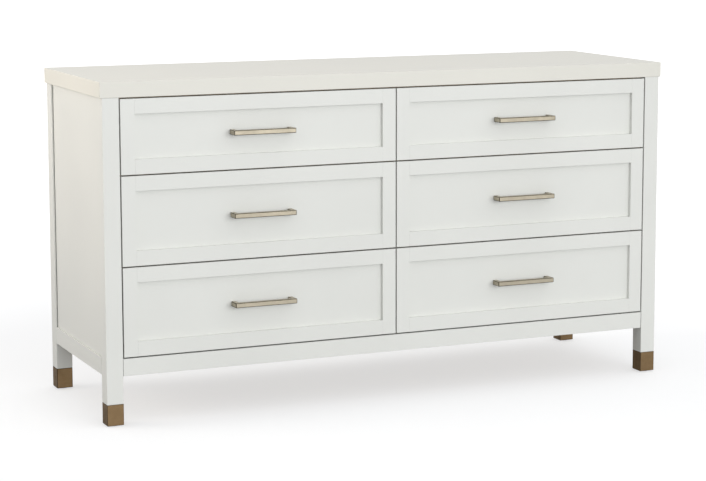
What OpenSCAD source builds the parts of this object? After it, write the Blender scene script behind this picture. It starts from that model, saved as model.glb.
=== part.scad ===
// Six-drawer dresser: two columns of three inset drawers in a leg-and-rail case.
// Millimetres, +Z up, front towards -Y. The origin is on the floor, in the middle
// of the overall box, which takes in the handles.

/* [Case] */
// Width over the top slab
top_w = 1524; // [1300:1:1700]
// Depth of the top slab
top_d = 483; // [481:1:560]
// Height from the floor to the top
top_h = 826; // [790:1:900]
// Thickness of the top slab
slab_t = 38; // [25:1:45]
// How far the slab stands past the legs at each side
slab_side = 5.5; // [0:0.5:20]
// How far the slab stands past the legs at the front and at the back
slab_face = 1; // [0:0.5:10]
// Width of the divider between the two columns
divider_t = 18; // [12:1:22]
// Thickness of the side panels
side_t = 12; // [9:1:12]
// How far the side panels lie inside the outer faces of the legs
side_recess = 5; // [4:0.5:8]
// Thickness of the back panel
back_t = 5; // [3:0.5:6]
// Thickness of the dust panel under the drawers
bottom_t = 9; // [6:0.5:12]

/* [Legs and rails] */
// Side of the square legs
leg = 41; // [41:1:50]
// Height of the brass caps on the feet
cap_h = 54; // [30:1:80]
// Wall of the brass caps
cap_wall = 1.5; // [1:0.25:2]
// Height of the nylon glides under the caps
glide_h = 2.5; // [1.5:0.5:6]
// Diameter of the nylon glides
glide_d = 26; // [16:1:36]
// Height of the lower rails above the floor
rail_z = 121; // [95:1:150]
// Height of the apron and of the lower rails
rail_h = 42; // [41:1:60]
// Thickness of the apron and of the back rails
rail_t = 20; // [18:1:22]
// Thickness of the side rails
side_rail_t = 22; // [22:1:24]
// Width of the shadow line where a rail meets a leg
reveal = 1; // [0.2:0.1:1.5]

/* [Drawers] */
// Gap round each drawer front
gap = 3.5; // [2:0.5:4]
// Height of the two top drawer fronts
top_front_h = 180; // [165:0.5:200]
// Thickness of the drawer fronts
front_t = 22; // [20:0.5:24]
// How deep the panel of a front lies in its frame
recess = 9; // [5:0.5:11]
// Width of the stiles of a drawer front
stile_w = 35; // [30:0.5:60]
// Width of the rails of a drawer front
front_rail_w = 36; // [30:0.5:50]
// Length of a drawer box from front to back
box_d = 400; // [350:5:400]
// Thickness of the sides and of the back of a drawer box
board_t = 12; // [12:0.5:15]
// Thickness of the inner front of a drawer box
inner_front_t = 15; // [12:0.5:18]

/* [Handles] */
// Length of a bar pull
handle_l = 160; // [100:1:256]
// Side of the square bar and of its posts
handle_bar = 12; // [8:0.5:14]
// How far the bar stands out from the panel
handle_out = 33; // [28:0.5:45]
// How far the bar lies above the middle of its front
handle_up = 0; // [0:0.5:8]

/* [Slides] */
// Thickness of a three-part ball-bearing slide
slide_t = 12.7; // [12.7:0.1:13.5]
// Height of the outer member of a slide
slide_h = 45; // [45:0.5:50]
// Wall of the slide members
slide_wall = 1.2; // [1:0.1:1.5]

/* [Hidden] */
$fn = 48;
JOINT = 0.1;         // hairline between separate boards of one group
CLEAR = 0.2;         // play of a tongue in its groove
EPS = 1;             // how far a cutter runs past the face it opens

ROWS = ["bottom", "middle", "top"];
COLUMNS = ["left", "right"];
ENDS = ["front", "back"];
PIECES = ["frame", "panel", "box", "handle", "slide_inner", "slide_mid"];
CASE = ["top_slab", "leg_front_left", "leg_front_right", "leg_back_left", "leg_back_right",
        "foot_cap_front_left", "foot_cap_front_right", "foot_cap_back_left",
        "foot_cap_back_right", "foot_glides", "side_panel_left", "side_panel_right",
        "side_rail_left", "side_rail_right", "front_apron", "back_bottom_rail",
        "back_top_rail", "centre_divider", "bottom_panel", "back_panel",
        "front_stretchers", "side_cleats", "slide_cabinet_members", "back_panel_screws"];

WHITE = [0.90, 0.90, 0.88];
SHADE = [0.84, 0.84, 0.82];
BIRCH = [0.83, 0.72, 0.54];
BOARD = [0.62, 0.50, 0.36];
BRASS = [0.78, 0.68, 0.50];
BRONZE = [0.53, 0.43, 0.29];
STEEL = [0.72, 0.74, 0.76];
NYLON = [0.85, 0.85, 0.82];

// Places of the case
proud = handle_out - recess;                   // how far a handle passes the fronts
y_face = (proud - slab_face - top_d) / 2 + slab_face;
y_back = y_face + top_d - 2 * slab_face;       // back plane of the legs
x_leg = top_w / 2 - slab_side;                 // outer face of the legs
x_open = x_leg - leg;                          // inner face of the legs
z_slab = top_h - slab_t;
z_open = rail_z + rail_h;                      // lower edge of the drawer opening
x_panel = x_leg - side_recess;                 // outer face of the side panels

// Joinery of the case
tenon_l = 15;
tenon_t = 10;
tenon_low = 6;                                 // shoulder under a tenon
tenon_high = 12;                               // shoulder over a tenon
tenon_in = 5;                                  // from a rail's outer face to its tenon
groove_d = 6;                                  // depth of the grooves in the rails
leg_groove_d = 8;
shadow_gap = 1;                                // free width outside a side panel
apron_set = 0.5;                               // apron lies behind the legs' front plane
back_set = 9;                                  // rabbet round the back panel
back_lap = 10;                                 // width of that rabbet on a leg
back_low = 6;                                  // back panel starts above the rail's edge
top_rail_h = 40;
bottom_drop = 19;                              // dust panel under the opening's edge
cleat_h = 50;
top_cleat_h = 30;
stretcher_w = 60;
stretcher_t = 18;
behind_front = 2;                              // free depth behind the drawer fronts

// Places of the drawers
bay_w = x_open - divider_t / 2;
low_front_h = (z_slab - z_open - 4 * gap - top_front_h) / 2;
front_h = [low_front_h, low_front_h, top_front_h];
front_z = [z_open + gap, z_open + 2 * gap + low_front_h, z_open + 3 * gap + 2 * low_front_h];
front_w = x_open - 1.5 * gap;
front_x = (x_open + gap / 2 - gap) / 2;        // middle of a front, from the centre line
box_y = y_face + front_t;
box_low = 14;                                  // box starts above the front's lower edge
box_down = 46;                                 // box ends below the front's upper edge
box_w = bay_w - 2 * slide_t;
box_x = (x_open + divider_t / 2) / 2;          // middle of a bay, from the centre line
ply_t = 6;
ply_z = 10;                                    // height of the ply bottom in the box
tongue_t = 6;
tongue_l = 8;
dado = 4;
back_in = 6;                                   // box sides pass the back by this much
tail_pitch = 40;                               // about one dovetail for this much height
tail_share = 0.36;                             // half a tail's width, as a share of its pitch
tail_slope = 10;

// Handles
post_screw_d = 4;
post_hole_d = 5;
post_thread_l = 8;
post_screw_head_d = 9;
post_screw_head_h = 2.4;

// Slides, measured from the case towards the drawer
slide_up = 48;                                 // middle of a slide above the box's edge
slide_y = y_face + front_t + behind_front;
outer_depth = 9;
mid_x = 3;
mid_depth = 7.4;
mid_h = slide_h - 10;
inner_depth = 7.3;
inner_h = slide_h - 20;
mid_short = 4;                                 // the middle member starts this far back
inner_short = 2;

// Screws of the back panel, and wall anchor holes
back_screw_d = 3.5;
back_screw_l = 16;
back_screw_head_d = 8;
back_screw_head_h = 2;
back_screws = 5;                               // in each of the two rows
back_screw_edge = 60;
anchor_pitch = 406.4;
anchor_d = 4;
anchor_l = 20;

// A box between two corners
module block(low, high) {
    translate(low) cube(high - low);
}

// Mirrors to the right half when side is 1
module half(side) {
    if (side > 0) mirror([1, 0, 0]) children();
    else children();
}

// Puts a corner drawn at the outer front left corner of the legs at any of the four
module corner(side, back) {
    half(side) translate([-x_leg, back ? y_back : y_face, 0]) {
        if (back) mirror([0, 1, 0]) children();
        else children();
    }
}

// ---- case ----

module top_slab() {
    color(WHITE) block([-top_w / 2, y_face - slab_face, z_slab],
                       [top_w / 2, y_back + slab_face, top_h]);
}

// Mortise for the rail that meets the leg's inner face
module cross_mortise(face_in, low, high) {
    block([leg - tenon_l, face_in + tenon_in, low],
          [leg + EPS, face_in + tenon_in + tenon_t, high]);
}

// Mortise for the side rail
module side_mortise() {
    block([tenon_in, leg - tenon_l, rail_z + tenon_low],
          [tenon_in + tenon_t, leg + EPS, z_open - tenon_high]);
}

// Groove for the side panel, with a shadow gap at its outer side
module panel_groove() {
    block([side_recess - shadow_gap, leg - leg_groove_d, z_open - groove_d],
          [side_recess + side_t, leg + EPS, z_slab + EPS]);
}

module leg_post(back) {
    color(WHITE) difference() {
        union() {
            block([0, 0, cap_h], [leg, leg, z_slab]);
            block([cap_wall, cap_wall, glide_h + cap_wall],
                  [leg - cap_wall, leg - cap_wall, cap_h + EPS]);
        }
        side_mortise();
        panel_groove();
        cross_mortise(back ? back_set : apron_set, rail_z + tenon_low, z_open - tenon_high);
        if (back) {
            cross_mortise(back_set, z_slab - top_rail_h + tenon_low, z_slab - tenon_high);
            block([leg - back_lap, -EPS, rail_z + back_low], [leg + EPS, back_set, z_slab + EPS]);
        }
    }
}

module foot_cap() {
    color(BRONZE) difference() {
        block([0, 0, glide_h], [leg, leg, cap_h]);
        block([cap_wall, cap_wall, glide_h + cap_wall],
              [leg - cap_wall, leg - cap_wall, cap_h + EPS]);
    }
}

module foot_glides() {
    color(NYLON) for (side = [-1, 1]) for (back = [false, true]) corner(side, back)
        translate([leg / 2, leg / 2, 0]) cylinder(d = glide_d, h = glide_h);
}

module side_panel() {
    in_leg = leg - leg_groove_d + JOINT;
    color(SHADE) block([-x_panel, y_face + in_leg, z_open - groove_d],
                       [-x_panel + side_t, y_back - in_leg, z_slab]);
}

module side_rail() {
    y0 = y_face + leg;
    y1 = y_back - leg;
    color(WHITE) difference() {
        union() {
            block([-x_leg, y0 + reveal, rail_z],
                  [-x_leg + side_rail_t, y1 - reveal, z_open]);
            block([-x_leg + tenon_in, y0 - tenon_l, rail_z + tenon_low],
                  [-x_leg + tenon_in + tenon_t, y1 + tenon_l, z_open - tenon_high]);
        }
        block([-x_panel - CLEAR, y0 - EPS, z_open - groove_d],
              [-x_panel + side_t + CLEAR, y1 + EPS, z_open + EPS]);
        bottom_cut();
    }
}

// A rail from leg to leg, its outer face at y0 and its body towards dir
module cross_rail(y0, dir, low, high) {
    near = y0 + dir * tenon_in;
    far = near + dir * tenon_t;
    union() {
        block([-x_open + reveal, min(y0, y0 + dir * rail_t), low],
              [x_open - reveal, max(y0, y0 + dir * rail_t), high]);
        block([-x_open - tenon_l, min(near, far), low + tenon_low],
              [x_open + tenon_l, max(near, far), high - tenon_high]);
    }
}

module front_apron() {
    color(WHITE) difference() {
        cross_rail(y_face + apron_set, 1, rail_z, z_open);
        bottom_cut();
    }
}

module back_bottom_rail() {
    color(SHADE) difference() {
        cross_rail(y_back - back_set, -1, rail_z, z_open);
        bottom_cut();
        back_screw_holes();
    }
}

module back_top_rail() {
    color(SHADE) difference() {
        cross_rail(y_back - back_set, -1, z_slab - top_rail_h, z_slab);
        back_screw_holes();
        anchor_holes();
    }
}

module centre_divider() {
    color(BIRCH) block([-divider_t / 2, slide_y, z_open - bottom_drop + bottom_t],
                       [divider_t / 2, y_back - back_set - rail_t, z_slab]);
}

// Outline of the dust panel, let into the rails and notched round the legs
module bottom_outline(play) {
    half_x = x_leg - side_rail_t + groove_d;
    y0 = y_face + apron_set + rail_t - groove_d;
    y1 = y_back - back_set - rail_t + groove_d;
    notch_x = x_open - 2 * JOINT;
    difference() {
        translate([-half_x - play, y0 - play]) square([2 * (half_x + play), y1 - y0 + 2 * play]);
        for (side = [-1, 1]) for (y = [y_face, y_back - leg])
            translate([side > 0 ? notch_x : -notch_x - 2 * leg, y - 2 * JOINT])
                square([2 * leg, leg + 4 * JOINT]);
    }
}

module bottom_panel() {
    color(BIRCH) translate([0, 0, z_open - bottom_drop])
        linear_extrude(bottom_t) bottom_outline(0);
}

// The groove that the dust panel needs in the rails round it
module bottom_cut() {
    translate([0, 0, z_open - bottom_drop - CLEAR])
        linear_extrude(bottom_t + 2 * CLEAR) bottom_outline(CLEAR);
}

// Children at each screw of the back panel, on the panel's outer face
module at_back_screws() {
    reach = x_open - back_screw_edge;
    rows = [rail_z + rail_h / 2 + back_low / 2, z_slab - top_rail_h / 2];
    for (z = rows) for (i = [0 : back_screws - 1])
        translate([-reach + 2 * reach * i / (back_screws - 1), y_back - back_set + back_t, z])
            children();
}

module back_screw_holes() {
    at_back_screws() rotate([90, 0, 0]) translate([0, 0, -EPS])
        cylinder(d = back_screw_d + CLEAR, h = back_screw_l + 2 * EPS);
}

module back_panel_screws() {
    color(STEEL) at_back_screws() rotate([90, 0, 0]) {
        translate([0, 0, -back_screw_head_h / 2])
            cylinder(d = back_screw_d, h = back_screw_l + back_screw_head_h / 2);
        translate([0, 0, -back_screw_head_h])
            cylinder(d = back_screw_head_d, h = back_screw_head_h);
    }
}

// Two blind holes for wall anchors, one stud pitch apart
module anchor_holes() {
    for (side = [-1, 1])
        translate([side * anchor_pitch / 2, y_back - back_set + back_t + EPS,
                   z_slab - top_rail_h / 2])
            rotate([90, 0, 0]) cylinder(d = anchor_d, h = anchor_l + EPS);
}

module back_panel() {
    half_x = x_open + back_lap - JOINT;
    color(BOARD) difference() {
        block([-half_x, y_back - back_set, rail_z + back_low],
              [half_x, y_back - back_set + back_t, z_slab]);
        back_screw_holes();
        anchor_holes();
    }
}

// Hidden rails behind the gaps over each row, one in each bay
module front_stretchers() {
    tops = [front_z[1] - gap / 2 + stretcher_t / 2, front_z[2] - gap / 2 + stretcher_t / 2,
            z_slab];
    color(BIRCH) for (side = [-1, 1]) half(side) for (z = tops)
        block([-x_open, slide_y, z - stretcher_t],
              [-divider_t / 2, slide_y + stretcher_w, z]);
}

// Packing between the side panels and the plane of the legs' inner faces
module side_cleats() {
    color(BIRCH) for (side = [-1, 1]) half(side) {
        for (r = [0 : 2])
            block([-x_panel + side_t, y_face + leg, slide_z(r) - cleat_h / 2],
                  [-x_open, y_back - leg, slide_z(r) + cleat_h / 2]);
        block([-x_panel + side_t, y_face + leg, z_slab - top_cleat_h],
              [-x_open, y_back - leg, z_slab]);
    }
}

// ---- slides ----

function slide_z(r) = front_z[r] + box_low + slide_up;

// Draws a pair of slide members in the bay of one drawer, web towards the case at x = 0
module slide_pair(side) {
    half(side) {
        translate([-x_open, 0, 0]) children();
        translate([-divider_t / 2, 0, 0]) mirror([1, 0, 0]) children();
    }
}

// A channel along Y with its web at x0, or at x1 when the flanges point back
module channel(x0, x1, y0, y1, tall, back_web) {
    difference() {
        block([x0, y0, -tall / 2], [x1, y1, tall / 2]);
        block([back_web ? x0 - EPS : x0 + slide_wall, y0 - EPS, slide_wall - tall / 2],
              [back_web ? x1 - slide_wall : x1 + EPS, y1 + EPS, tall / 2 - slide_wall]);
    }
}

module slide_cabinet_members() {
    color(STEEL) for (side = [-1, 1]) for (r = [0 : 2]) translate([0, 0, slide_z(r)])
        slide_pair(side) channel(0, outer_depth, slide_y, slide_y + box_d, slide_h, false);
}

module drawer_slide_mid(r, side) {
    color(STEEL) translate([0, 0, slide_z(r)]) slide_pair(side)
        channel(mid_x, mid_x + mid_depth, slide_y + mid_short, slide_y + box_d - mid_short,
                mid_h, false);
}

module drawer_slide_inner(r, side) {
    color(STEEL) translate([0, 0, slide_z(r)]) slide_pair(side)
        channel(slide_t - inner_depth, slide_t, slide_y, slide_y + box_d - behind_front
                - inner_short, inner_h, true);
}

// ---- drawers ----

// Moves a front drawn about its lower middle to its place
module at_front(r, side) {
    translate([side * front_x, y_face, front_z[r]]) children();
}

// A stile with the groove that takes the panel and the rails' tongues
module stile(h) {
    difference() {
        block([-front_w / 2, 0, 0], [-front_w / 2 + stile_w, front_t, h]);
        block([-front_w / 2 + stile_w - tongue_l - CLEAR, recess - CLEAR, -EPS],
              [-front_w / 2 + stile_w + EPS, recess + tongue_t + CLEAR, h + EPS]);
    }
}

// A rail with its groove, and a tongue at each end
module front_rail() {
    half_w = front_w / 2 - stile_w;
    difference() {
        union() {
            block([-half_w + JOINT, 0, 0], [half_w - JOINT, front_t, front_rail_w]);
            block([-half_w - tongue_l, recess, 0], [half_w + tongue_l, recess + tongue_t,
                  front_rail_w]);
        }
        block([-front_w, recess - CLEAR, front_rail_w - tongue_l - CLEAR],
              [front_w, recess + tongue_t + CLEAR, front_rail_w + EPS]);
    }
}

module drawer_frame(r, side) {
    h = front_h[r];
    color(WHITE) at_front(r, side) {
        stile(h);
        mirror([1, 0, 0]) stile(h);
        front_rail();
        translate([0, 0, h]) mirror([0, 0, 1]) front_rail();
    }
}

// The panel: flush with the frame's back, with a tongue all round
module drawer_panel(r, side) {
    half_w = front_w / 2 - stile_w;
    top = front_h[r] - front_rail_w;
    color(WHITE) at_front(r, side) difference() {
        union() {
            block([-half_w + CLEAR, recess, front_rail_w + CLEAR],
                  [half_w - CLEAR, front_t, top - CLEAR]);
            block([-half_w - tongue_l + CLEAR, recess, front_rail_w - tongue_l + CLEAR],
                  [half_w + tongue_l - CLEAR, recess + tongue_t, top + tongue_l - CLEAR]);
        }
        post_holes(r);
    }
}

// Holes for the handle's screws, from the panel's face to the inside of the box
module post_holes(r) {
    at_posts(r) rotate([-90, 0, 0]) translate([0, 0, recess - EPS])
        cylinder(d = post_hole_d, h = front_t - recess + inner_front_t + 2 * EPS);
}

// Children at the two posts, in the frame of at_front
module at_posts(r) {
    for (x = [-1, 1])
        translate([x * (handle_l - handle_bar) / 2, 0, front_h[r] / 2 + handle_up]) children();
}

module drawer_handle(r, side) {
    half_bar = handle_bar / 2;
    bar_back = handle_bar - proud;
    thread_y = recess - post_thread_l;
    head_y = front_t + inner_front_t - JOINT;
    color(BRASS) at_front(r, side) {
        translate([0, 0, front_h[r] / 2 + handle_up])
            block([-handle_l / 2, -proud, -half_bar], [handle_l / 2, bar_back, half_bar]);
        at_posts(r) {
            difference() {
                block([-half_bar, bar_back + JOINT, -half_bar], [half_bar, recess, half_bar]);
                rotate([-90, 0, 0]) translate([0, 0, thread_y - EPS])
                    cylinder(d = post_screw_d + CLEAR, h = post_thread_l + 2 * EPS);
            }
            rotate([-90, 0, 0]) {
                translate([0, 0, thread_y])
                    cylinder(d = post_screw_d, h = head_y - thread_y + post_screw_head_h / 2);
                translate([0, 0, head_y])
                    cylinder(d = post_screw_head_d, h = post_screw_head_h);
            }
        }
    }
}

// The dovetails at the front end of a box side, grown by play and lengthened by over
module tails(h, play, over) {
    count = round(h / tail_pitch);
    pitch = h / count;
    near = tail_share * pitch + over * tan(tail_slope) + play;
    far = tail_share * pitch - (inner_front_t + over) * tan(tail_slope) + play;
    for (i = [0 : count - 1]) translate([0, 0, (i + 0.5) * pitch])
        rotate([90, 0, 90]) linear_extrude(board_t + play)
            polygon([[-over, -near], [inner_front_t + over, -far],
                     [inner_front_t + over, far], [-over, near]]);
}

// Left side of a box: its outer face at x = 0, its front end at y = 0
module box_side(h) {
    difference() {
        union() {
            block([0, inner_front_t, 0], [board_t, box_d, h]);
            tails(h, 0, 0);
        }
        block([board_t - groove_d, inner_front_t - groove_d, ply_z - CLEAR / 2],
              [board_t + EPS, box_d + EPS, ply_z + ply_t + CLEAR / 2]);
        block([board_t - dado, box_d - back_in - board_t - JOINT, ply_z + ply_t],
              [board_t + EPS, box_d - back_in + JOINT, h + EPS]);
    }
}

// Inner front of a box, between the dovetails of its two sides
module box_front(r, side, h) {
    inner_w = box_w - 2 * board_t;
    difference() {
        block([-box_w / 2, 0, 0], [box_w / 2, inner_front_t - JOINT, h]);
        for (m = [-1, 1]) half(m) translate([-box_w / 2, 0, 0]) {
            translate([-EPS, 0, 0]) tails(h, JOINT, EPS);
            tails(h, JOINT, EPS);
        }
        block([-inner_w / 2, inner_front_t - groove_d, ply_z - CLEAR / 2],
              [inner_w / 2, inner_front_t + EPS, ply_z + ply_t + CLEAR / 2]);
        translate([side * (front_x - box_x), -front_t, -box_low]) post_holes(r);
    }
}

module drawer_box(r, side) {
    h = front_h[r] - box_low - box_down;
    half_w = box_w / 2 - board_t;
    color(BIRCH) translate([side * box_x, box_y, front_z[r] + box_low]) {
        for (m = [-1, 1]) half(m) translate([-box_w / 2, 0, 0]) box_side(h);
        box_front(r, side, h);
        block([-half_w - dado + JOINT, box_d - back_in - board_t, ply_z + ply_t + JOINT],
              [half_w + dado - JOINT, box_d - back_in, h]);
        block([-half_w - groove_d + JOINT, inner_front_t - groove_d + JOINT, ply_z],
              [half_w + groove_d - JOINT, box_d - EPS, ply_z + ply_t]);
    }
}

// ---- what is drawn ----

top_slab();
for (s = [0, 1]) for (b = [0, 1]) {
    place = str(ENDS[b], "_", COLUMNS[s]);
    side = 2 * s - 1;
    corner(side, b == 1) leg_post(b == 1);
    corner(side, b == 1) foot_cap();
}
foot_glides();
for (s = [0, 1]) {
    side = 2 * s - 1;
    half(side) side_panel();
    half(side) side_rail();
}
front_apron();
back_bottom_rail();
back_top_rail();
centre_divider();
bottom_panel();
back_panel();
front_stretchers();
side_cleats();
slide_cabinet_members();
back_panel_screws();
for (r = [0 : 2]) for (s = [0, 1]) {
    place = str("drawer_", ROWS[r], "_", COLUMNS[s], "_");
    side = 2 * s - 1;
    drawer_frame(r, side);
    drawer_panel(r, side);
    drawer_box(r, side);
    drawer_handle(r, side);
    drawer_slide_inner(r, side);
    drawer_slide_mid(r, side);
}
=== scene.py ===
import math

import bmesh
import bpy
from mathutils import Matrix, Vector


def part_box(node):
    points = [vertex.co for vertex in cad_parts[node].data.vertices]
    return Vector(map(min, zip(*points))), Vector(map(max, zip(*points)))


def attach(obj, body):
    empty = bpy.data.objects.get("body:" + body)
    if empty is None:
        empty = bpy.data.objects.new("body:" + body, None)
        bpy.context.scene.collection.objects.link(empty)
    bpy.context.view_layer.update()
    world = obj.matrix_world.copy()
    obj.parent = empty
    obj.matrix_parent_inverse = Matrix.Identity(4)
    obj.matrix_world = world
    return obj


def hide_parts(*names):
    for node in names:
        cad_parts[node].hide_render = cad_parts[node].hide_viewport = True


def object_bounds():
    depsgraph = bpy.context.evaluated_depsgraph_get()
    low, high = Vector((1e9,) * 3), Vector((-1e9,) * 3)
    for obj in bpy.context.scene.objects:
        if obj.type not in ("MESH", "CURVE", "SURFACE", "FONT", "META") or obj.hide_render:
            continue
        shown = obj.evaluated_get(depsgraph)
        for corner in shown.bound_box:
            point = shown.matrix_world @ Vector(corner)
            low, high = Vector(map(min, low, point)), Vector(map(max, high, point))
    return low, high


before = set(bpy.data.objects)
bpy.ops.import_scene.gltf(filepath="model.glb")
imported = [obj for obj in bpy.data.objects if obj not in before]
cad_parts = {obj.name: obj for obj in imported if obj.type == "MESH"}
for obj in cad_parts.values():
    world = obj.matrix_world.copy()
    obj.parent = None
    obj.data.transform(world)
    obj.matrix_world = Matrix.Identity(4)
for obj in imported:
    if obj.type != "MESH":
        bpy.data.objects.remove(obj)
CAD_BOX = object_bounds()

MM = 0.001
COLUMNS = ("left", "right")
ROWS = ("bottom", "middle", "top")
PLACES = [f"{row}_{column}" for row in ROWS for column in COLUMNS]
CORNERS = [f"{end}_{column}" for end in ("front", "back") for column in COLUMNS]


# ---------------------------------------------------------------- camera and stage

CAMERA_AT = (-2.191, -5.023, 1.247)
CAMERA_YAW = math.radians(24.22)
CAMERA_PITCH = math.radians(-7.96)
LENS_MM = 108.7
SENSOR_MM = 36
LENS_SHIFT = (-0.0435, -0.0602)
CLIP_END = 200


def make_camera():
    """A long lens at chest height, in front and to the left of the dresser."""
    yaw, pitch = CAMERA_YAW, CAMERA_PITCH
    look = Vector((math.sin(yaw) * math.cos(pitch), math.cos(yaw) * math.cos(pitch),
                   math.sin(pitch)))
    right = Vector((math.cos(yaw), -math.sin(yaw), 0))
    turn = Matrix((right, right.cross(look), -look)).transposed().to_4x4()
    data = bpy.data.cameras.new("camera")
    data.sensor_width = SENSOR_MM
    data.lens = LENS_MM
    data.shift_x, data.shift_y = LENS_SHIFT
    data.clip_end = CLIP_END
    camera = bpy.data.objects.new("camera", data)
    camera.matrix_world = Matrix.Translation(CAMERA_AT) @ turn
    bpy.context.scene.collection.objects.link(camera)
    bpy.context.scene.camera = camera


class Nodes:
    """A short way to write a node tree."""

    def __init__(self, owner):
        self.tree = owner.node_tree
        self.tree.nodes.clear()

    def add(self, kind, inputs=None, **settings):
        node = self.tree.nodes.new("ShaderNode" + kind)
        for key, value in settings.items():
            setattr(node, key, value)
        for key, value in (inputs or {}).items():
            if isinstance(value, bpy.types.NodeSocket):
                self.tree.links.new(value, node.inputs[key])
            else:
                node.inputs[key].default_value = value
        return node

    def place(self):
        """Where the point is in the object's own space, in metres."""
        return self.add("TexCoord").outputs["Object"]

    def scaled(self, vector, scale):
        return self.add("Mapping", {"Vector": vector, "Scale": scale}).outputs[0]

    def noise(self, vector, scale, detail=2.0, roughness=0.5, distortion=0.0):
        return self.add("TexNoise", {"Vector": vector, "Scale": scale, "Detail": detail,
                                     "Roughness": roughness,
                                     "Distortion": distortion}).outputs["Fac"]

    def math(self, operation, a, b=0.0):
        return self.add("Math", {0: a, 1: b}, operation=operation).outputs[0]

    def spread(self, value, low, high, from_low=0.35, from_high=0.65):
        """A grey value mapped from one range to another."""
        return self.add("MapRange", {"Value": value, "From Min": from_low,
                                     "From Max": from_high, "To Min": low,
                                     "To Max": high}).outputs[0]

    def blend(self, factor, a, b):
        """The colour a where the factor is 0, b where it is 1."""
        mix = self.add("Mix", data_type="RGBA")
        sockets = {i.identifier: i for i in mix.inputs}
        for key, value in (("Factor_Float", factor), ("A_Color", a), ("B_Color", b)):
            if isinstance(value, bpy.types.NodeSocket):
                self.tree.links.new(value, sockets[key])
            elif key == "Factor_Float":
                sockets[key].default_value = value
            else:
                sockets[key].default_value = (*value, 1)
        return [o for o in mix.outputs if o.identifier == "Result_Color"][0]

    def bump(self, height, strength, distance):
        return self.add("Bump", {"Strength": strength, "Distance": distance,
                                 "Height": height}).outputs[0]

    def surface(self, inputs):
        shader = self.add("BsdfPrincipled", inputs)
        self.add("OutputMaterial", {"Surface": shader.outputs[0]})


def new_material(name):
    material = bpy.data.materials.new(name)
    material.use_nodes = True
    return material, Nodes(material)


FLOOR_HALF = 60.0
FLOOR_TONES = ((0.460, 0.465, 0.476), (0.470, 0.475, 0.483))
LIFT = (0.575, 0.90)        # glow of the floor for the camera, near and far
LIFT_REACH = (1.15, 3.2)    # metres from the origin over which it grows


def make_floor():
    """Grey studio paper that is lifted to white for the camera, as a cut-out picture is."""
    material, n = new_material("studio_paper")
    fibre = n.noise(n.place(), 900, 3)
    tone = n.blend(n.spread(fibre, 0, 1), *FLOOR_TONES)
    paper = n.add("BsdfDiffuse", {"Color": tone})
    reach = n.add("VectorMath", {0: n.place()}, operation="LENGTH").outputs["Value"]
    glow = n.spread(reach, *LIFT, *LIFT_REACH)
    seen = n.math("MULTIPLY", n.add("LightPath").outputs["Is Camera Ray"], glow)
    lift = n.add("Emission", {"Color": (1, 1, 1, 1), "Strength": seen})
    both = n.add("AddShader", {0: paper.outputs[0], 1: lift.outputs[0]})
    n.add("OutputMaterial", {"Surface": both.outputs[0]})
    mesh = bpy.data.meshes.new("studio_floor")
    half = FLOOR_HALF
    corners = [(-half, -half, 0), (half, -half, 0), (half, half, 0), (-half, half, 0)]
    mesh.from_pydata(corners, [], [(0, 1, 2, 3)])
    mesh.materials.append(material)
    floor = bpy.data.objects.new("studio_floor", mesh)
    bpy.context.scene.collection.objects.link(floor)


SKY_LEAN = (0.50, -0.25, 0.20)   # the way in which the sky brightens
SKY_GLOW = (0.60, 0.97)          # away from that way, and towards it
SKY_SPAN = (-0.6, 0.6)
BACKDROP_GLOW = 1.05
KEY_AT = (1.4, -7.8, 1.7)
KEY_SIZE = (5.5, 3.2)
KEY_WATTS = 205
FILL_AT = (-2.7, 0.7, 1.35)
FILL_SIZE = (1.2, 1.2)
FILL_WATTS = 5
FILL_TINT = (1, 0.91, 0.81)
FILL_SPREAD = 60
FILL_ABOVE = 0.15                # how far over the slab the fill light aims


def make_softbox(name, place, target, size, power, tint=(1, 1, 1), spread=180):
    data = bpy.data.lights.new(name, "AREA")
    data.shape = "RECTANGLE"
    data.size, data.size_y = size
    data.energy = power
    data.spread = math.radians(spread)
    data.color = tint
    light = bpy.data.objects.new(name, data)
    light.location = place
    aim = Vector(target) - Vector(place)
    light.rotation_euler = aim.to_track_quat("-Z", "Y").to_euler()
    bpy.context.scene.collection.objects.link(light)
    return light


def make_light():
    """A sky that is brightest on the right, a large key light in front, a fill on the left."""
    world = bpy.data.worlds.new("studio")
    world.use_nodes = True
    n = Nodes(world)
    way = n.add("TexCoord").outputs["Generated"]
    lean = n.add("VectorMath", {0: way, 1: SKY_LEAN}, operation="DOT_PRODUCT")
    strength = n.spread(lean.outputs["Value"], *SKY_GLOW, *SKY_SPAN)
    glow = n.add("Background", {"Color": (1, 1, 1, 1), "Strength": strength})
    white = n.add("Background", {"Color": (1, 1, 1, 1), "Strength": BACKDROP_GLOW})
    path = n.add("LightPath")
    both = n.add("MixShader", {0: path.outputs["Is Camera Ray"], 1: glow.outputs[0],
                               2: white.outputs[0]})
    n.add("OutputWorld", {"Surface": both.outputs[0]})
    bpy.context.scene.world = world
    middle = (CAD_BOX[0] + CAD_BOX[1]) / 2
    make_softbox("key_softbox", KEY_AT, middle, KEY_SIZE, KEY_WATTS)
    upper_left = Vector((CAD_BOX[0].x, middle.y, CAD_BOX[1].z + FILL_ABOVE))
    fill = make_softbox("side_softbox", FILL_AT, upper_left, FILL_SIZE, FILL_WATTS,
                        FILL_TINT, FILL_SPREAD)
    # The slab would mirror this warm light when seen from the right.
    fill.visible_glossy = False
    bpy.context.scene.view_settings.view_transform = "Standard"


# ---------------------------------------------------------------- materials

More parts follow.
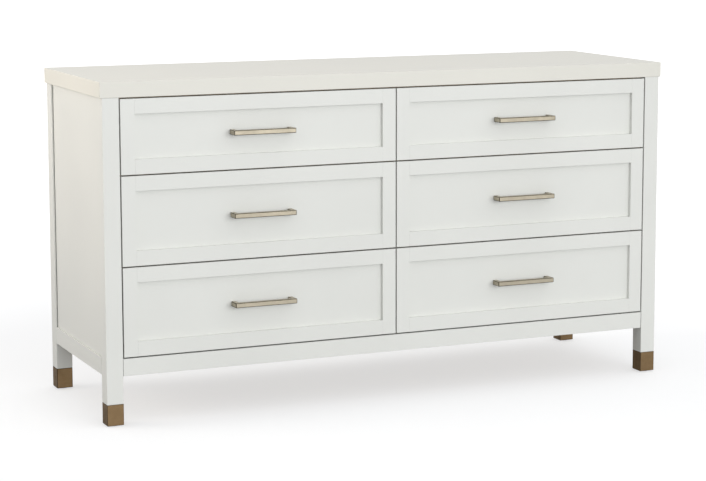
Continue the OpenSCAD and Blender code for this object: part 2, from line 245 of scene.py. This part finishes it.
PAINT = (0.79, 0.80, 0.765)
PAINT_TOP = (0.785, 0.775, 0.71)
BIRCH = (0.73, 0.57, 0.38)
BIRCH_DARK = (0.56, 0.40, 0.23)
BRONZE = (0.305, 0.205, 0.108)
# Painted shade: near-black bronze for the foot caps' eased edges, standing in for the dark
# shade lines along them.
BRONZE_EDGE_SHADE = (0.055, 0.036, 0.018)
# Painted shade: the paint in narrow gaps is darkened towards this tone, in place of the shade
# that falls there.
GAP_SHADE_TONE = (0.06, 0.06, 0.055)
GAP_SHADE_REACH = 6 * MM   # how narrow a gap has to be to look dark
ZINC_TONE = (0.60, 0.62, 0.65)
SCREW_TONE = (0.66, 0.67, 0.69)
BRASS_TONE = (0.50, 0.45, 0.35)
# Painted shade on the pulls' eased arrises: dark brass tones, darker where a bevel faces down.
ARRIS_SHADE_TONES = ((0.03, 0.025, 0.016), (0.17, 0.15, 0.11))    # facing down, and up
GRAIN = {"x": (0.06, 1, 1), "y": (1, 0.06, 1), "z": (1, 1, 0.06)}
STILE = 35 * MM          # width of a drawer front's stiles
BOX_BOARD = 12.6 * MM    # just over the thickness of a box's sides


def in_stiles(n, node):
    """1 over the upright boards of a drawer front or box, 0 over its long boards."""
    low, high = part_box(node)
    middle = abs(low.x + high.x) / 2
    stile = STILE if node.endswith("frame") else BOX_BOARD
    x = n.add("SeparateXYZ", {0: n.place()}).outputs[0]
    off = n.math("ABSOLUTE", n.math("SUBTRACT", n.math("ABSOLUTE", x), middle))
    return n.math("GREATER_THAN", off, (high.x - low.x) / 2 - stile)


def grain(n, along, across=None, where=None):
    """Object space squeezed along the grain. Boards inside `where` run across."""
    place = n.place()
    first = n.scaled(place, GRAIN[along])
    if across is None:
        return first
    second = n.scaled(place, GRAIN[across])
    mix = n.add("Mix", {0: where}, data_type="VECTOR")
    sockets = {i.identifier: i for i in mix.inputs}
    n.tree.links.new(first, sockets["A_Vector"])
    n.tree.links.new(second, sockets["B_Vector"])
    return [o for o in mix.outputs if o.identifier == "Result_Vector"][0]


def make_paint(name, tone, along, stiles=None):
    """Sprayed satin lacquer over wood: orange peel, ghost of the grain, uneven sheen, and
    painted shade that darkens narrow gaps.
    """
    material, n = new_material(name)
    fibres = grain(n, along, "z", in_stiles(n, stiles)) if stiles else grain(n, along)
    cloud = n.noise(n.place(), 3.0, 3)
    pores = n.noise(fibres, 500, 4, 0.6)
    peel = n.noise(n.place(), 620, 2)
    shade = tuple(c * 0.97 for c in tone)
    pale = n.blend(n.spread(cloud, 0, 1), shade, tone)
    color = n.blend(n.spread(pores, 0.10, 0.0, 0.30, 0.45), pale, tuple(c * 0.9 for c in tone))
    # Painted shade: where ambient occlusion finds other surfaces close by, as in narrow gaps,
    # the paint colour is darkened.
    open_sky = n.add("AmbientOcclusion", {"Distance": GAP_SHADE_REACH}, samples=10).outputs["AO"]
    color = n.blend(n.spread(open_sky, 1.0, 0.0, 0.12, 0.34), color, GAP_SHADE_TONE)
    rough = n.spread(n.math("ADD", cloud, pores), 0.34, 0.46, 0.8, 1.2)
    height = n.math("ADD", n.math("MULTIPLY", pores, 0.5), peel)
    n.surface({"Base Color": color, "Roughness": rough, "IOR": 1.48,
               "Normal": n.bump(height, 0.25, 0.0001), "Coat Weight": 0.12,
               "Coat Roughness": 0.22})
    return material


def make_wood(name, pale, dark, fibres_of):
    """Clear-lacquered birch: growth lines, soft figure, pores and a tone for each board."""
    material, n = new_material(name)
    fibres = fibres_of(n)
    wander = n.noise(fibres, 7, 2, 0.5, 0.4)
    heart = n.add("Mapping", {"Vector": fibres, "Location": (0.21, 0.37, 0.29)}).outputs[0]
    lines = n.add("TexWave", {"Vector": heart, "Scale": 42, "Distortion": 5.0, "Detail": 3,
                              "Detail Scale": 1.4, "Detail Roughness": 0.6},
                  wave_type="RINGS", rings_direction="SPHERICAL",
                  wave_profile="SAW").outputs["Fac"]
    streak = n.noise(fibres, 60, 5, 0.6, 0.3)
    pores = n.noise(fibres, 1400, 2, 0.5)
    board = n.add("NewGeometry").outputs["Random Per Island"]
    figure = n.math("ADD", n.math("MULTIPLY", lines, 0.28), n.math("MULTIPLY", streak, 0.75))
    figure = n.math("ADD", figure, n.math("MULTIPLY", wander, 0.25))
    figure = n.math("ADD", figure, n.math("MULTIPLY", board, 0.22))
    color = n.blend(n.spread(figure, 0, 1, 0.35, 1.05), pale, dark)
    pore = tuple(c * 0.62 for c in dark)
    color = n.blend(n.spread(pores, 0.5, 0.0, 0.30, 0.40), color, pore)
    height = n.math("ADD", n.math("MULTIPLY", streak, 0.4), pores)
    rough = n.spread(streak, 0.37, 0.50)
    n.surface({"Base Color": color, "Roughness": rough, "IOR": 1.5,
               "Normal": n.bump(height, 0.35, 0.0001)})
    return material


def make_hardboard():
    """Pressed fibre board: short matted fibres, darker flecks, a dull face."""
    material, n = new_material("pressed_fibre_board")
    place = n.place()
    mat = n.noise(place, 260, 5, 0.7, 1.2)
    cloud = n.noise(place, 5, 2)
    fleck = n.add("TexVoronoi", {"Vector": n.scaled(place, (1, 1, 0.5)), "Scale": 700},
                  feature="F1").outputs["Distance"]
    color = n.blend(n.spread(mat, 0, 1), (0.215, 0.130, 0.068), (0.345, 0.225, 0.125))
    color = n.blend(n.spread(cloud, 0, 0.35), color, (0.27, 0.165, 0.088))
    color = n.blend(n.spread(fleck, 0.45, 0, 0.0, 0.3), color, (0.13, 0.075, 0.04))
    height = n.math("ADD", mat, fleck)
    n.surface({"Base Color": color, "Roughness": n.spread(mat, 0.55, 0.72),
               "Normal": n.bump(height, 0.4, 0.0002)})
    return material


def make_brushed(name, tone, along, rough, scuff):
    """A metal brushed along one axis, with a faint cloud of handling marks."""
    material, n = new_material(name)
    lines = n.noise(n.scaled(n.place(), GRAIN[along]), 5200, 3, 0.7)
    cloud = n.noise(n.place(), 45, 4, 0.6)
    color = n.blend(n.spread(cloud, 0, 1), tone, tuple(c * scuff for c in tone))
    color = n.blend(n.spread(lines, 0.12, 0, 0.3, 0.6), color, tuple(c * 0.6 for c in tone))
    gloss = n.math("ADD", n.spread(lines, -0.05, 0.05), n.spread(cloud, rough - 0.03,
                                                                rough + 0.06))
    n.surface({"Base Color": color, "Metallic": 1.0, "Roughness": gloss,
               "Normal": n.bump(lines, 0.12, 0.00004)})
    return material


def make_arris_shade(name, below, above):
    """Painted shade on the arrises of a brass pull: darkest where they face down, lighter
    where they face up.
    """
    material, n = new_material(name)
    facing = n.add("SeparateXYZ", {0: n.add("NewGeometry").outputs["Normal"]}).outputs[2]
    cloud = n.noise(n.place(), 160, 4, 0.6)
    color = n.blend(n.spread(facing, 0, 1, -0.4, 0.4), below, above)
    color = n.blend(n.spread(cloud, 0, 0.35), color, below)
    n.surface({"Base Color": color, "Metallic": 1.0,
               "Roughness": n.spread(cloud, 0.38, 0.50)})
    return material


def make_zinc(name, tone, rough):
    """Bright zinc plate: crystals, rolling marks and small dull patches."""
    material, n = new_material(name)
    crystal = n.add("TexVoronoi", {"Vector": n.place(), "Scale": 420}).outputs["Color"]
    grey = n.add("RGBToBW", {0: crystal}).outputs[0]
    rolled = n.noise(n.scaled(n.place(), GRAIN["y"]), 2600, 3, 0.6)
    color = n.blend(n.spread(grey, 0, 1, 0.2, 0.8), tone, tuple(c * 0.86 for c in tone))
    gloss = n.math("ADD", n.spread(grey, rough - 0.04, rough + 0.06, 0.2, 0.8),
                   n.spread(rolled, -0.03, 0.04))
    n.surface({"Base Color": color, "Metallic": 1.0, "Roughness": gloss,
               "Normal": n.bump(rolled, 0.15, 0.00005)})
    return material


def make_nylon():
    """Moulded nylon, slightly mottled and scuffed."""
    material, n = new_material("moulded_nylon")
    speck = n.noise(n.place(), 700, 3)
    cloud = n.noise(n.place(), 90, 3)
    color = n.blend(n.spread(cloud, 0, 1), (0.62, 0.61, 0.57), (0.70, 0.69, 0.65))
    n.surface({"Base Color": color, "Roughness": n.spread(speck, 0.42, 0.58),
               "Subsurface Weight": 0.08, "Subsurface Scale": 0.002,
               "Normal": n.bump(speck, 0.2, 0.0001)})
    return material


# ---------------------------------------------------------------- CAD nodes kept

# How wide the rounded edges are
SLAB_EASE = 1.2 * MM
CAP_EASE = 1.2 * MM
LEG_EASE = 0.9 * MM
RAIL_EASE = 0.8 * MM
BOARD_EASE = 0.6 * MM
THIN_EASE = 0.5 * MM
BACK_EASE = 0.4 * MM
STEEL_EASE = 0.3 * MM


def ease(piece, width, edge_slot=-1):
    """Rounds every sharp edge a little, as sanding, spraying or tumbling leaves it."""
    weld = piece.modifiers.new("weld", "WELD")
    weld.merge_threshold = 1e-6
    flat = piece.modifiers.new("flat", "DECIMATE")
    flat.decimate_type = "DISSOLVE"
    flat.angle_limit = math.radians(1)
    bevel = piece.modifiers.new("ease", "BEVEL")
    bevel.width = width
    bevel.segments = 3
    bevel.limit_method = "ANGLE"
    bevel.angle_limit = math.radians(40)
    bevel.harden_normals = True
    bevel.material = edge_slot


def finish(names, material, width, edge=None):
    """Gives CAD nodes their material, and eases their edges."""
    for name in names:
        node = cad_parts[name]
        node.data.materials.clear()
        node.data.materials.append(material)
        if edge:
            node.data.materials.append(edge)
        ease(node, width, 1 if edge else -1)


def finish_case():
    paint = {axis: make_paint(f"satin_paint_{axis}", PAINT, axis) for axis in "xyz"}
    top = make_paint("satin_paint_top", PAINT_TOP, "x")
    finish(["top_slab"], top, SLAB_EASE)
    finish([f"leg_{c}" for c in CORNERS], paint["z"], LEG_EASE)
    finish(["side_panel_left", "side_panel_right"], paint["z"], THIN_EASE)
    finish(["side_rail_left", "side_rail_right"], paint["y"], RAIL_EASE)
    finish(["front_apron", "back_bottom_rail", "back_top_rail"], paint["x"], RAIL_EASE)
    birch = {axis: make_wood(f"birch_{axis}", BIRCH, BIRCH_DARK,
                             lambda n, a=axis: grain(n, a)) for axis in "xy"}
    finish(["centre_divider", "side_cleats"], birch["y"], BOARD_EASE)
    finish(["bottom_panel", "front_stretchers"], birch["x"], BOARD_EASE)
    finish(["back_panel"], make_hardboard(), BACK_EASE)
    bronze = make_brushed("bronze_cap", BRONZE, "z", 0.42, 0.86)
    # The caps' bevels take this painted-shade edge bronze.
    cap_edge_shade = make_brushed("bronze_edge_shade", BRONZE_EDGE_SHADE, "z", 0.40, 0.8)
    finish([f"foot_cap_{c}" for c in CORNERS], bronze, CAP_EASE, edge=cap_edge_shade)
    finish(["foot_glides"], make_nylon(), BOARD_EASE)
    finish(["slide_cabinet_members"], ZINC, STEEL_EASE)


def finish_drawers():
    for place in PLACES:
        node = f"drawer_{place}_"
        front = make_paint(f"satin_front_{place}", PAINT, "x", node + "frame")
        finish([node + "frame"], front, THIN_EASE)
        finish([node + "panel"], make_paint(f"satin_panel_{place}", PAINT, "x"), THIN_EASE)
        box = make_wood(f"birch_box_{place}", BIRCH, BIRCH_DARK,
                        lambda n, b=node + "box": grain(n, "x", "y", in_stiles(n, b)))
        finish([node + "box"], box, THIN_EASE)
        finish([node + "slide_mid", node + "slide_inner"], ZINC, STEEL_EASE)


# ---------------------------------------------------------------- pieces made here

PULL_EASE = 1.6 * MM
HEAD_H = 2.4 * MM
HEAD_R = 4.5 * MM
SHANK_R = 2.0 * MM
SHANK_TURNS = 16
# Shares of a screw head's radius and height, from its seat to its crown
TRUSS_HEAD = ((0, 0), (1, 0), (1, 0.22), (0.93, 0.5), (0.74, 0.8), (0.45, 0.95), (0, 1))
SLOT_REACH = 0.62       # of the head's radius
SLOT_DEPTH = 0.7        # of the head's height
SLOT_SHARE = 0.24       # width of a slot to its length
SLOT_TAPER = 0.55       # size of the cross at its bottom
SLOT_RISE = 0.4 * MM    # how far the cutter stands above the crown
BACK_SCREW_R = 4 * MM
BACK_SCREWS_IN_ROW = 5


def new_piece(name, bm, material, body, replaces=()):
    mesh = bpy.data.meshes.new(name)
    bm.to_mesh(mesh)
    bm.free()
    mesh.shade_smooth()
    mesh.materials.append(material)
    piece = bpy.data.objects.new(name, mesh)
    bpy.context.scene.collection.objects.link(piece)
    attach(piece, body)
    if replaces:
        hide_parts(*replaces)
    return piece


def add_outline(bm, points, low, high):
    """A prism: an outline in the XY plane, drawn up from low to high."""
    bottom = [bm.verts.new((x, y, low)) for x, y in points]
    top = [bm.verts.new((x, y, high)) for x, y in points]
    bm.faces.new(bottom[::-1])
    bm.faces.new(top)
    count = len(points)
    for i in range(count):
        j = (i + 1) % count
        bm.faces.new((bottom[i], bottom[j], top[j], top[i]))


def add_lathe(bm, profile, place, turns=28):
    """A turned solid round +Y at a place. The profile holds (radius, y) pairs."""
    rings = []
    for radius, y in profile:
        if radius == 0:
            rings.append([bm.verts.new(place + Vector((0, y, 0)))])
            continue
        ring = []
        for i in range(turns):
            a = math.tau * i / turns
            ring.append(bm.verts.new(place + Vector((radius * math.cos(a), y,
                                                     radius * math.sin(a)))))
        rings.append(ring)
    for a, b in zip(rings, rings[1:]):
        for i in range(turns):
            j = (i + 1) % turns
            quad = [a[i % len(a)], a[j % len(a)], b[j % len(b)], b[i % len(b)]]
            bm.faces.new(list(dict.fromkeys(quad)))


def make_cross(place, reach, depth):
    """A cross that tapers down into a screw head, as its driver's tip does."""
    tool = bmesh.new()
    for turn in (0, 90):
        spin = Matrix.Rotation(math.radians(turn), 4, "Y")
        wide, thin = reach, reach * SLOT_SHARE
        ends = []
        for k, y in ((1.0, SLOT_RISE), (SLOT_TAPER, -depth)):
            ends.append([tool.verts.new(place + spin @ Vector((sx * wide * k, y,
                                                               sz * thin * k)))
                         for sx, sz in ((-1, -1), (1, -1), (1, 1), (-1, 1))])
        tool.faces.new(ends[0])
        tool.faces.new(ends[1][::-1])
        for i in range(4):
            j = (i + 1) % 4
            tool.faces.new((ends[0][j], ends[0][i], ends[1][i], ends[1][j]))
    bmesh.ops.recalc_face_normals(tool, faces=tool.faces)
    return tool


def add_helper(name, bm):
    """An object that lives only as long as a cut needs it."""
    mesh = bpy.data.meshes.new(name)
    bm.to_mesh(mesh)
    helper = bpy.data.objects.new(name, mesh)
    bpy.context.scene.collection.objects.link(helper)
    return helper


def carve(bm, tool):
    """Cuts the tool out of the mesh."""
    host = add_helper("host", bm)
    cutter = add_helper("cutter", tool)
    tool.free()
    cut = host.modifiers.new("cut", "BOOLEAN")
    cut.object = cutter
    cut.use_self = True
    cut.solver = "EXACT"
    graph = bpy.context.evaluated_depsgraph_get()
    result = bpy.data.meshes.new_from_object(host.evaluated_get(graph))
    bm.clear()
    bm.from_mesh(result)
    for helper in (host, cutter):
        bpy.data.objects.remove(helper)


def make_screw_head(place, radius, tall):
    """A truss head with its cross recess, which stands on `place` and faces +Y."""
    bm = bmesh.new()
    add_lathe(bm, [(radius * r, tall * h) for r, h in TRUSS_HEAD], place)
    bmesh.ops.recalc_face_normals(bm, faces=bm.faces)
    crown = place + Vector((0, tall, 0))
    carve(bm, make_cross(crown, radius * SLOT_REACH, tall * SLOT_DEPTH))
    return bm


def join(bm, other):
    mesh = bpy.data.meshes.new("part")
    other.to_mesh(mesh)
    other.free()
    bm.from_mesh(mesh)
    bpy.data.meshes.remove(mesh)


def make_handle(place):
    """A square bar pull in one piece with its posts, and its two screws from inside."""
    node = f"drawer_{place}_handle"
    low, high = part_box(node)
    panel_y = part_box(f"drawer_{place}_panel")[0].y
    bm = bmesh.new()
    bar = high.z - low.z
    inner_y = low.y + bar
    outline = [(low.x, low.y), (high.x, low.y), (high.x, panel_y), (high.x - bar, panel_y),
               (high.x - bar, inner_y), (low.x + bar, inner_y), (low.x + bar, panel_y),
               (low.x, panel_y)]
    middle = (low.z + high.z) / 2
    add_outline(bm, outline, low.z, high.z)
    bmesh.ops.recalc_face_normals(bm, faces=bm.faces)
    pull = new_piece(f"pull_{place}", bm, BRASS, f"drawer_{place}", [node])
    # The pull's bevels take the painted-shade arris material.
    pull.data.materials.append(BRASS_ARRIS_SHADE)
    pull.data.shade_flat()
    ease(pull, PULL_EASE, 1)
    screws = bmesh.new()
    for x in (low.x + bar / 2, high.x - bar / 2):
        seat = Vector((x, high.y - HEAD_H, middle))
        join(screws, make_screw_head(seat, HEAD_R, HEAD_H))
        shank = [(SHANK_R, panel_y - seat.y), (SHANK_R, 0)]
        add_lathe(screws, shank, seat, SHANK_TURNS)
    piece = new_piece(f"pull_screws_{place}", screws, ZINC_FINE, f"drawer_{place}",
                      [node])
    crisp(piece)


def crisp(piece):
    """Smooth where it is round, sharp where it is not."""
    bm = bmesh.new()
    bm.from_mesh(piece.data)
    for edge in bm.edges:
        if len(edge.link_faces) == 2 and edge.calc_face_angle(0) > math.radians(35):
            edge.smooth = False
    bm.to_mesh(piece.data)
    bm.free()


def make_back_screws():
    """Ten truss-head screws, each with a cross recess, in the rows the CAD holds them."""
    low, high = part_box("back_panel_screws")
    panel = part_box("back_panel")[1].y
    radius = BACK_SCREW_R
    bm = bmesh.new()
    for row in (low.z + radius, high.z - radius):
        for i in range(BACK_SCREWS_IN_ROW):
            share = i / (BACK_SCREWS_IN_ROW - 1)
            x = low.x + radius + (high.x - low.x - 2 * radius) * share
            join(bm, make_screw_head(Vector((x, panel, row)), radius, high.y - panel))
    piece = new_piece("back_screws", bm, ZINC_FINE, "carcass",
                      ["back_panel_screws"])
    crisp(piece)


BALL_R = 1.75 * MM
BALL_PITCH = 12 * MM
CAGE_T = 0.6 * MM
CAGE_H = 3.2 * MM
# Each row of balls: how far in from the middle member's outer face, and off mid-height
OUTER_ROW = (3.0 * MM, 19.4 * MM)
INNER_ROW = (4.6 * MM, 14.4 * MM)
# What each cage leaves free in its half of the middle member, at the front and the back
OUTER_ENDS = (8 * MM, 12 * MM)
INNER_ENDS = (8 * MM, 14 * MM)


def add_ball_row(bm, x, z, start, end):
    """A cage strip with its balls along Y."""
    count = int((end - start) / BALL_PITCH)
    for i in range(count):
        at = Matrix.Translation((x, start + (i + 0.5) * BALL_PITCH, z))
        bmesh.ops.create_icosphere(bm, subdivisions=2, radius=BALL_R, matrix=at)
    size = Matrix.Diagonal((CAGE_T, end - start, CAGE_H, 1))
    middle = Matrix.Translation((x, (start + end) / 2, z))
    bmesh.ops.create_cube(bm, size=1, matrix=middle @ size)


def make_ball_cages(place):
    """The balls between the three members of both slides of a drawer."""
    low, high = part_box(f"drawer_{place}_slide_mid")
    middle_z = (low.z + high.z) / 2
    middle_y = (low.y + high.y) / 2
    bm = bmesh.new()
    for wall, inward in ((low.x, 1), (high.x, -1)):
        for up in (-1, 1):
            deep, off = OUTER_ROW
            add_ball_row(bm, wall + inward * deep, middle_z + up * off,
                         middle_y + OUTER_ENDS[0], high.y - OUTER_ENDS[1])
            deep, off = INNER_ROW
            add_ball_row(bm, wall + inward * deep, middle_z + up * off,
                         low.y + INNER_ENDS[0], middle_y - INNER_ENDS[1])
    new_piece(f"slide_balls_{place}", bm, ZINC_FINE, f"slides_{place}")


# ---------------------------------------------------------------- the scene

make_camera()
make_light()
make_floor()
ZINC = make_zinc("zinc_plate", ZINC_TONE, 0.32)
ZINC_FINE = make_zinc("zinc_screws", SCREW_TONE, 0.25)
BRASS = make_brushed("champagne_brass", BRASS_TONE, "x", 0.46, 0.90)
BRASS_ARRIS_SHADE = make_arris_shade("brass_arris_shade", *ARRIS_SHADE_TONES)
finish_case()
finish_drawers()
for where in PLACES:
    make_handle(where)
    make_ball_cages(where)
make_back_screws()
